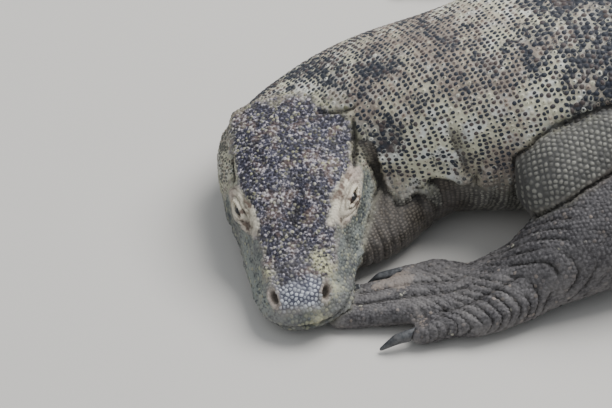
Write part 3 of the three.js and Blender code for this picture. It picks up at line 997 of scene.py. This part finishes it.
def scales_mesh(name, chosen, cells):
    """The chosen scales as one mesh: a low dome each, that fills its room among its neighbours."""
    spots, ahead, across = scale_at[chosen], scale_ahead[chosen], scale_across[chosen]
    reach, normal, tall = scale_reach[chosen] * FILLED, scale_normals[chosen], scale_height[chosen]
    rows = [spots[:, None] + (normal * tall[:, None])[:, None]]
    for share, level in BEAD[1:]:
        flat = share * reach
        rows.append(
            spots[:, None]
            + (flat * scale_ways[:, 0])[:, :, None] * ahead[:, None]
            + (flat * scale_ways[:, 1])[:, :, None] * across[:, None]
            + (normal * (tall * level)[:, None])[:, None]
        )
    places = np.concatenate(rows, axis=1)
    places[:, :, 2] = np.maximum(places[:, :, 2], 0.0)
    count, size = len(spots), 1 + 2 * SIDES
    ring = np.arange(SIDES)
    turn = (ring + 1) % SIDES
    inner, outer = 1 + ring, 1 + SIDES + ring
    inner_next, outer_next = 1 + turn, 1 + SIDES + turn
    fan = np.column_stack([np.zeros(SIDES, int), inner, inner_next])
    wall = [np.column_stack([inner, outer, outer_next]), np.column_stack([inner, outer_next, inner_next])]
    triangles = (np.vstack([fan, *wall])[None] + (np.arange(count) * size)[:, None, None]).reshape(-1, 3)
    mesh = mesh_of(name, places.reshape(-1, 3), triangles)
    rim = np.tile(np.r_[0, np.full(SIDES, BEAD[1][0]), np.ones(SIDES)], count)
    bead = [np.repeat(values[chosen], size) for values in (scale_tone, scale_spot, scale_fold_shade)]
    masks = {zone: np.repeat(mask[chosen], size) for zone, mask in scale_zones.items()}
    store_markings(mesh, masks, [rim, *bead])
    # Each scale is a small patch at its root's place on the unwrapped hide.
    root = cells[chosen]
    patch = np.vstack([[0, 0], scale_ways * BEAD[1][0], scale_ways]) * PATCH / 2
    uv = (root[:, None] + patch[None]).reshape(-1, 2)
    layer = mesh.uv_layers.new(name="OFBake")
    layer.data.foreach_set("uv", uv[triangles.ravel()].astype(np.float32).ravel())
    return mesh


# ---------------- the unwrapped hide
HEAD_LINE = 36 * MM  # how high in the head its line runs
CELL_EDGE = (0.02, 0.01)  # the empty edge of a part's cell, along and round


def unwrap(points, owner):
    """Each place's position, 0 to 1 both ways, on the unwrapped hide of the part it lies on."""
    flat = np.zeros((len(points), 2))
    at_spine = nearest_on(spine, points)
    ways = unit(np.gradient(spine, axis=0))
    for i, name in enumerate(flesh_nodes):
        mine = owner == i
        here = points[mine]
        if name in TRUNK:
            line, way, along = spine[at_spine[mine]], ways[at_spine[mine]], at_spine[mine] * 1.0
        elif name in HEAD:
            along = (here - head_origin) @ head_back
            line = head_origin + HEAD_LINE * head_up + along[:, None] * head_back
            way = np.broadcast_to(head_back, here.shape)
        else:
            centre = node_points(name).mean(axis=0)
            axis = longest_way(node_points(name))
            along = (here - centre) @ axis
            line = centre + along[:, None] * axis
            way = np.broadcast_to(axis, here.shape)
        lift = unit(UP - (way @ UP)[:, None] * way)
        left = np.cross(way, lift)
        away = here - line
        turn = np.arctan2((away * left).sum(axis=1), (away * lift).sum(axis=1)) / (2 * np.pi) + 0.5
        spanned = (along - along.min()) / max(np.ptp(along), 1e-9) if len(here) else along
        flat[mine] = np.column_stack([spanned, turn])
    return flat


def cell_of(flat, owner, names):
    """Moves unwrapped places into equal cells side by side, one for each of these parts."""
    width = 1 / len(names)
    order = np.zeros(len(flesh_nodes))
    order[numbers_of(names)] = np.arange(len(names))
    u = (order[owner] + CELL_EDGE[0] + (1 - 2 * CELL_EDGE[0]) * flat[:, 0]) * width
    return np.column_stack([u, CELL_EDGE[1] + (1 - 2 * CELL_EDGE[1]) * flat[:, 1]])


# ---------------- the coat
COAT_PARTS = {
    "head": HEAD,
    **{name: [name] for name in TRUNK[:5]},
    "tail_base": TRUNK[5:7],
    "tail_end": TRUNK[7:],
    **leg_nodes,
}
SPOT_SPREAD = 0.27  # how much the size of the spots differs from scale to scale

scale_owner = hide.owner[scale_round[:, 0]]
scale_normals = unit(mean_of(surface.normals, scale_round))
scale_zones = {name: mean_of(mask, scale_round) for name, mask in zones.items()}
scale_spot = mean_of(skin_spot, scale_round) + rng.normal(0, SPOT_SPREAD, len(scale_at))
scale_fold_shade = mean_of(skin_fold_shade, scale_round)
scale_tone = rng.random(len(scale_at))
scale_reach, scale_ahead, scale_across, scale_ways = reach_of(
    scale_at, scale_along, scale_normals, scale_pitch
)


def scale_heights():
    """How high each scale stands: a share of its pitch, less on the lids, lips, limbs and underside."""
    flatter = (1 - 0.6 * scale_zones["lid"]) * (1 - 0.4 * scale_zones["lip"])
    flatter = flatter * (1 - 0.35 * scale_zones["limb"])
    flatter = flatter * (1 - 0.35 * np.maximum(scale_zones["throat"], scale_zones["under"]))
    return scale_pitch * (0.17 + 0.05 * scale_tone) * flatter


scale_height = scale_heights()
scale_flat = unwrap(scale_at, scale_owner)


def add_piece(name, mesh, material):
    piece = new_object(name, mesh)
    mesh.materials.append(material)
    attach(piece, "root")
    return piece


# ---------------- materials
class Shader:
    """A material's node tree, with short calls for the nodes that the looks below are made of."""

    def __init__(self, name):
        self.material = bpy.data.materials.new(name)
        self.material.use_nodes = True
        self.tree = self.material.node_tree
        self.surface = self.tree.nodes["Principled BSDF"]

    def add(self, kind, inputs=(), **settings):
        made = self.tree.nodes.new("ShaderNode" + kind)
        for key, value in settings.items():
            setattr(made, key, value)
        for key, value in dict(inputs).items():
            self.feed(made.inputs[key], value)
        return made

    def feed(self, socket, value):
        if isinstance(value, bpy.types.NodeSocket):
            self.tree.links.new(value, socket)
        elif isinstance(value, tuple) and len(value) == 3 and socket.type == "RGBA":
            socket.default_value = (*value, 1)
        else:
            socket.default_value = value

    def calc(self, operation, a, b=0.0):
        return self.add("Math", {0: a, 1: b}, operation=operation).outputs[0]

    def times(self, a, b):
        return self.calc("MULTIPLY", a, b)

    def plus(self, a, b):
        return self.calc("ADD", a, b)

    def mix(self, share, a, b):
        return self.add("Mix", {0: share, 6: a, 7: b}, data_type="RGBA").outputs[2]

    def step(self, value, low, high):
        """0 below low and 1 above high, softly. low may be the greater one."""
        spread = {"Value": value, "From Min": low, "From Max": high}
        if low > high:
            spread.update({"From Min": high, "From Max": low, "To Min": 1.0, "To Max": 0.0})
        return self.add("MapRange", spread, interpolation_type="SMOOTHSTEP").outputs[0]

    def between(self, value, low, high):
        """Low where the value is 0 and high where it is 1."""
        return self.add("MapRange", {"Value": value, "To Min": low, "To Max": high}).outputs[0]

    def parts(self, attribute):
        """The four masks of a colour attribute."""
        masks = self.add("Attribute", attribute_name=attribute)
        split = self.add("SeparateColor", {0: masks.outputs["Color"]})
        return (*split.outputs[:3], masks.outputs["Alpha"])

    def cloud(self, size, detail=3.0, rough=0.6):
        """Noise with blobs about `size` metres across, fixed to the object."""
        place = self.add("TexCoord").outputs["Object"]
        inputs = {"Vector": place, "Scale": 1 / size, "Detail": detail, "Roughness": rough}
        return self.add("TexNoise", inputs).outputs["Fac"]

    def finish(self, colour, roughness, bumps, strength, depth):
        """Joins up the shader. The bumps stand out by up to `depth` metres."""
        bump = self.add("Bump", {"Height": bumps, "Strength": strength, "Distance": depth})
        self.feed(self.surface.inputs["Base Color"], colour)
        self.feed(self.surface.inputs["Roughness"], roughness)
        self.feed(self.surface.inputs["Normal"], bump.outputs[0])
        return self.material


CREAM = (0.59, 0.57, 0.43)
PINK = (0.34, 0.27, 0.22)
REAR_PALE = (0.24, 0.225, 0.20)
ASH = (0.70, 0.71, 0.66)
SOOT = (0.20, 0.175, 0.15)
INK = (0.022, 0.027, 0.040)
UMBER = (0.085, 0.066, 0.064)
CROWN_DARK = (0.022, 0.021, 0.032)
CROWN_BLUE = (0.070, 0.072, 0.120)
CROWN_BROWN = (0.15, 0.105, 0.095)
CROWN_PALE = (0.50, 0.46, 0.48)
LID_CREAM = (0.72, 0.66, 0.53)
LID_PINK = (0.53, 0.44, 0.38)
LID_BROWN = (0.16, 0.115, 0.09)
LIP_GREEN = (0.076, 0.088, 0.084)
LIP_PALE = (0.32, 0.35, 0.325)
SNOUT_PALE = (0.62, 0.65, 0.71)
SNOUT_GREY = (0.100, 0.104, 0.142)
YELLOW = (0.58, 0.56, 0.34)
# The throat's own tan and pale tiles, darkened with painted shade.
THROAT_TAN_SHADED = (0.042, 0.035, 0.029)
THROAT_PALE_SHADED = (0.122, 0.104, 0.084)
UPPER_DARK = (0.076, 0.075, 0.072)
UPPER_PALE = (0.245, 0.240, 0.212)
# The underside's own dark joins and pale tiles, darkened with painted shade.
UNDER_DARK_SHADED = (0.074, 0.071, 0.065)
UNDER_PALE_SHADED = (0.34, 0.33, 0.28)
LIMB_DARK = (0.030, 0.028, 0.032)
LIMB_GREY = (0.190, 0.181, 0.187)
TAN = (0.30, 0.245, 0.205)
FLECK = (0.46, 0.44, 0.35)
DUST = (0.255, 0.240, 0.235)
# Painted shade, for the folds and creases.
PAINTED_FOLD_SHADE = (0.014, 0.012, 0.011)
HORN_DARK = (0.025, 0.028, 0.034)
HORN_PALE = (0.115, 0.118, 0.125)
PUPIL = (0.004, 0.004, 0.004)
IRIS_DARK = (0.012, 0.008, 0.005)
IRIS_BROWN = (0.055, 0.034, 0.018)
EYE_RIM = (0.03, 0.022, 0.018)


class HideShader(Shader):
    """The hide's node tree, with the masks and the noises that its parts share."""

    def __init__(self, name):
        super().__init__(name)
        # The fourth mask of the bead, fold, is where the folds get painted shade.
        self.rim, self.tone, self.spot, self.fold = self.parts("bead")
        self.crown, self.lip, self.lid, self.snout = self.parts("head_zone")
        self.limb, self.upper, self.under, self.throat = self.parts("body_zone")
        self.broad = self.cloud(0.05)
        self.patchy = self.cloud(0.014)
        self.flake = self.cloud(0.0024, 3.0)
        self.grain = self.cloud(0.0016, 4.0)
        self.ragged = self.times(self.calc("SUBTRACT", self.cloud(0.0042, 2.0), 0.5), 1.5)
        # How much of each scale's middle is pale: all but its join, or a bead in its middle.
        self.tiled = self.step(self.plus(self.rim, self.times(self.ragged, 0.4)), 1.02, 0.66)
        self.beady = self.step(self.plus(self.rim, self.times(self.ragged, 0.6)), 1.05, 0.40)
        self.blotch = self.step(self.plus(self.patchy, self.times(self.tone, 0.35)), 0.30, 0.86)
        self.uneven = self.times(self.beady, self.blotch)


def back_colour(s):
    """A pale net, sooty in places, with round dark spots that have ragged edges, some of them brown."""
    warm = s.step(s.plus(s.times(s.tone, 0.35), s.broad), 0.56, 0.86)
    pale = s.mix(warm, s.mix(s.step(s.patchy, 0.46, 0.62), CREAM, ASH), PINK)
    sooty = s.step(s.plus(s.times(s.flake, 0.6), s.times(s.broad, 0.6)), 0.58, 0.78)
    pale = s.mix(s.times(sooty, 0.8), pale, SOOT)
    pale = s.mix(s.step(s.spot, 0.80, 1.10), pale, REAR_PALE)
    inked = s.step(s.calc("SUBTRACT", s.plus(s.spot, s.ragged), s.rim), -0.16, 0.14)
    brown = s.step(s.plus(s.times(s.tone, 0.5), s.patchy), 0.78, 1.00)
    return s.mix(inked, pale, s.mix(brown, INK, UMBER))


def beaded(s, colour):
    """Small brown tiles with dark joins on the lower flanks and throat, in painted shade, and pale beads on
    the upper arms.
    """
    tiles = s.times(s.tiled, s.plus(0.25, s.times(s.blotch, 0.75)))
    # Painted shade: the lower flanks and the throat take darker colours over their own tiles.
    colour = s.mix(s.under, colour, s.mix(tiles, UNDER_DARK_SHADED, UNDER_PALE_SHADED))
    colour = s.mix(s.throat, colour, s.mix(tiles, THROAT_TAN_SHADED, THROAT_PALE_SHADED))
    return s.mix(s.upper, colour, s.mix(s.uneven, UPPER_DARK, UPPER_PALE))


def limb_colour(s):
    """Dark grey, with tan patches and a few pale flecks."""
    level = s.plus(s.times(s.uneven, 0.20), s.times(s.step(s.flake, 0.36, 0.66), 0.46))
    grey = s.mix(level, LIMB_DARK, LIMB_GREY)
    grey = s.mix(s.times(s.step(s.spot, 0.2, 0.9), 0.75), grey, TAN)
    flecked = s.step(s.plus(s.times(s.tone, 0.3), s.patchy), 0.90, 0.98)
    return s.mix(flecked, grey, FLECK)


def lip_colour(s):
    """Grey-green, with dark specks and yellow patches."""
    spotted = s.step(s.plus(s.flake, s.times(s.tone, 0.12)), 0.57, 0.67)
    lips = s.mix(s.times(s.beady, 0.22), LIP_GREEN, LIP_PALE)
    lips = s.mix(s.times(s.step(s.broad, 0.46, 0.64), 0.6), lips, LIP_PALE)
    lips = s.mix(s.times(spotted, 0.8), lips, INK)
    return s.mix(s.times(s.spot, 0.7), lips, YELLOW)


def crown_colour(s):
    """Dark and mottled on top, with the snout's pale plates in front."""
    bluish = s.step(s.plus(s.flake, s.times(s.tone, 0.2)), 0.52, 0.72)
    dark = s.mix(bluish, CROWN_DARK, CROWN_BLUE)
    dark = s.mix(s.times(s.step(s.patchy, 0.52, 0.66), 0.7), dark, CROWN_BROWN)
    mottle = s.plus(s.plus(s.times(s.tone, 0.14), s.times(s.flake, 0.72)), s.times(s.patchy, 0.18))
    top = s.mix(s.step(mottle, 0.54, 0.66), dark, CROWN_PALE)
    top = s.mix(s.times(s.spot, s.step(s.flake, 0.36, 0.56)), top, YELLOW)
    plate = s.mix(s.times(s.step(s.tone, 0.35, 0.95), 0.6), SNOUT_PALE, SNOUT_GREY)
    plates = s.mix(s.step(s.plus(s.rim, s.ragged), 0.58, 0.98), plate, SNOUT_GREY)
    return s.mix(s.snout, top, plates)


def lid_colour(s):
    """Cream, pinkish in places, with brown blotches."""
    blushed = s.mix(s.step(s.broad, 0.42, 0.58), LID_CREAM, LID_PINK)
    return s.mix(s.step(s.plus(s.patchy, s.times(s.ragged, 0.12)), 0.36, 0.50), LID_BROWN, blushed)


def hide_material():
    """The hide: each part's own colours, dust where it is near the ground, and painted shade in every fold.
    """
    s = HideShader("dragon_hide")
    colour = beaded(s, back_colour(s))
    colour = s.mix(s.limb, colour, limb_colour(s))
    colour = s.mix(s.lip, colour, lip_colour(s))
    colour = s.mix(s.crown, colour, crown_colour(s))
    colour = s.mix(s.lid, colour, lid_colour(s))
    height = s.add("SeparateXYZ", {0: s.add("TexCoord").outputs["Object"]}).outputs["Z"]
    low = s.step(height, 0.070, 0.012)
    dusty = s.times(s.step(s.cloud(0.02), 0.30, 0.72), s.plus(0.06, s.times(low, 0.45)))
    colour = s.mix(dusty, colour, DUST)
    # Painted shade: every fold and crease goes nearly black.
    colour = s.mix(s.times(s.fold, 0.88), colour, PAINTED_FOLD_SHADE)
    s.surface.inputs["Specular IOR Level"].default_value = 0.35
    return s.finish(colour, s.between(s.patchy, 0.48, 0.75), s.grain, strength=0.35, depth=0.0006)


def claw_material():
    """Dark horn, streaked and a little dusty."""
    s = Shader("dragon_claw")
    streak = s.cloud(0.004, 5.0, 0.7)
    colour = s.mix(s.step(streak, 0.35, 0.7), HORN_DARK, HORN_PALE)
    colour = s.mix(s.times(s.step(s.cloud(0.02), 0.5, 0.75), 0.5), colour, DUST)
    s.surface.inputs["Specular IOR Level"].default_value = 0.5
    return s.finish(colour, s.between(streak, 0.28, 0.5), streak, strength=0.4, depth=0.0004)


def eye_material():
    """A dark brown iris round a black pupil, wet on top."""
    s = Shader("dragon_eye")
    away = s.add("Attribute", attribute_name="from_pupil").outputs["Fac"]
    flecks = s.cloud(0.0012, 4.0)
    iris = s.mix(flecks, IRIS_DARK, IRIS_BROWN)
    colour = s.mix(s.step(away, 0.42, 0.50), PUPIL, iris)
    colour = s.mix(s.step(away, 0.85, 1.0), colour, EYE_RIM)
    s.surface.inputs["Coat Weight"].default_value = 0.5
    s.surface.inputs["Coat Roughness"].default_value = 0.04
    return s.finish(colour, s.between(flecks, 0.12, 0.25), flecks, strength=0.05, depth=0.0002)


def floor_material():
    """A plain pale studio floor."""
    s = Shader("studio_floor")
    tone = s.cloud(0.4)
    colour = s.mix(tone, (0.60, 0.58, 0.55), (0.66, 0.64, 0.61))
    return s.finish(colour, s.between(tone, 0.75, 0.9), s.cloud(0.002), strength=0.1, depth=0.0005)


hide_look = hide_material()
claw_look = claw_material()
eye_look = eye_material()

# ---------------- pieces
MOST_SCALES = 8000  # in one piece of the coat


def coat_pieces(part, nodes):
    """The scales on these nodes, in as many pieces along them as their number calls for."""
    chosen = np.flatnonzero(np.isin(scale_owner, numbers_of(nodes)))
    chosen = chosen[np.argsort(scale_flat[chosen, 0])]
    cells = cell_of(scale_flat, scale_owner, nodes)
    for i, group in enumerate(np.array_split(chosen, math.ceil(len(chosen) / MOST_SCALES))):
        mesh = scales_mesh(f"scales_{part}_{i + 1}", group, cells)
        add_piece(mesh.name, mesh, hide_look)


for part, nodes in COAT_PARTS.items():
    coat_pieces(part, nodes)


def skin_piece():
    """The skin, marked as the coat is, in place of all the flesh nodes."""
    count = len(skin_mesh.vertices)
    store_markings(skin_mesh, zones, [np.ones(count), np.full(count, 0.5), skin_spot, skin_fold_shade])
    skin_mesh.shade_smooth()
    flat = unwrap(hide.points, hide.owner)
    loops = read(skin_mesh.loops, "vertex_index", 1, np.int32)[:, 0]
    starts = read(skin_mesh.polygons, "loop_start", 1, np.int32)[:, 0]
    totals = np.diff(np.r_[starts, len(loops)])
    # A face keeps to the part of its first corner, and one that crosses the unwrap's cut is kept whole.
    face_of = np.repeat(np.arange(len(starts)), totals)
    first = loops[starts][face_of]
    turn = flat[loops, 1]
    turn = turn + np.round(flat[first, 1] - turn)
    along = np.where(hide.owner[loops] == hide.owner[first], flat[loops, 0], flat[first, 0])
    uv = cell_of(np.column_stack([along, turn]), hide.owner[first], flesh_nodes)
    skin_mesh.uv_layers.new(name="OFBake").data.foreach_set("uv", uv.astype(np.float32).ravel())
    piece = add_piece("skin", skin_mesh, hide_look)
    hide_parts(*flesh_nodes)


skin_piece()


def claw_piece(node):
    """The claw's own solid, rounded."""
    mesh = fused(swollen_copy([node], seam=CLAW["swell"]), CLAW["cell"])
    move_vertices(mesh, relax(vertices_of(mesh), edges_of(mesh), CLAW["rounds"], 0.5))
    mesh.shade_smooth()
    piece = add_piece("horn_" + node, mesh, claw_look)
    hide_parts(node)


for node in claw_nodes:
    claw_piece(node)


IRIS_ANGLE = math.radians(45)  # from the middle of the pupil to the edge of the iris


def eye_piece(name, side):
    """The eyeball, its pupil turned the way the lids open."""
    low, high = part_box(name)
    radius = 0.5 * float(np.mean(np.array(high) - np.array(low)))
    ball = bmesh.new()
    bmesh.ops.create_icosphere(ball, subdivisions=5, radius=radius)
    mesh = mesh_from(ball, name + "_ball")
    out = eye_axes(side)[2]
    places = vertices_of(mesh)
    away = np.arccos(np.clip(unit(places) @ out, -1, 1)) / IRIS_ANGLE
    move_vertices(mesh, places + eye_centres[name])
    mesh.shade_smooth()
    layer = mesh.attributes.new("from_pupil", "FLOAT", "POINT")
    layer.data.foreach_set("value", away.astype(np.float32))
    piece = add_piece(name + "_ball", mesh, eye_look)
    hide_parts(name)


for name, side in EYES.items():
    eye_piece(name, side)


# ---------------- stage, camera and lights
SKY = {"strength": 0.46, "colour": (0.88, 0.94, 1.0)}
LAMPS = {
    "key": {
        "place": (0.6, 0.6, 2.3),
        "aim": (-0.5, -0.2, 0),
        "size": 1.8,
        "power": 104,
        "colour": (1.0, 0.99, 0.97),
    },
    "fill": {
        "place": (-1.6, -1.4, 1.8),
        "aim": (-0.4, -0.2, 0),
        "size": 2.2,
        "power": 8,
        "colour": (1, 1, 1),
    },
}


def floor():
    bpy.ops.mesh.primitive_plane_add(size=12, location=(0, 0, 0))
    plane = bpy.context.active_object
    plane.name = "floor"
    plane.data.materials.append(floor_material())


def area_light(name, place, aim, size, power, colour):
    lamp = bpy.data.lights.new(name, "AREA")
    lamp.energy = power
    lamp.size = size
    lamp.color = colour
    lit = new_object(name, lamp)
    lit.location = place
    lit.rotation_euler = (Vector(aim) - Vector(place)).to_track_quat("-Z", "Y").to_euler()


def world(strength, colour):
    sky = bpy.data.worlds.new("studio")
    sky.use_nodes = True
    backdrop = sky.node_tree.nodes["Background"]
    backdrop.inputs["Color"].default_value = (*colour, 1)
    backdrop.inputs["Strength"].default_value = strength
    bpy.context.scene.world = sky


def camera():
    eye = new_object("camera", bpy.data.cameras.new("camera"))
    eye.data.lens = CAMERA_LENS
    eye.data.sensor_width = CAMERA_SENSOR
    sight = Vector((0, math.cos(CAMERA_ELEVATION), -math.sin(CAMERA_ELEVATION)))
    eye.location = CAMERA_TARGET - sight * CAMERA_DISTANCE
    eye.rotation_euler = (math.pi / 2 - CAMERA_ELEVATION, 0, 0)
    bpy.context.scene.camera = eye


floor()
camera()
world(**SKY)
for name, lamp in LAMPS.items():
    area_light(name, **lamp)
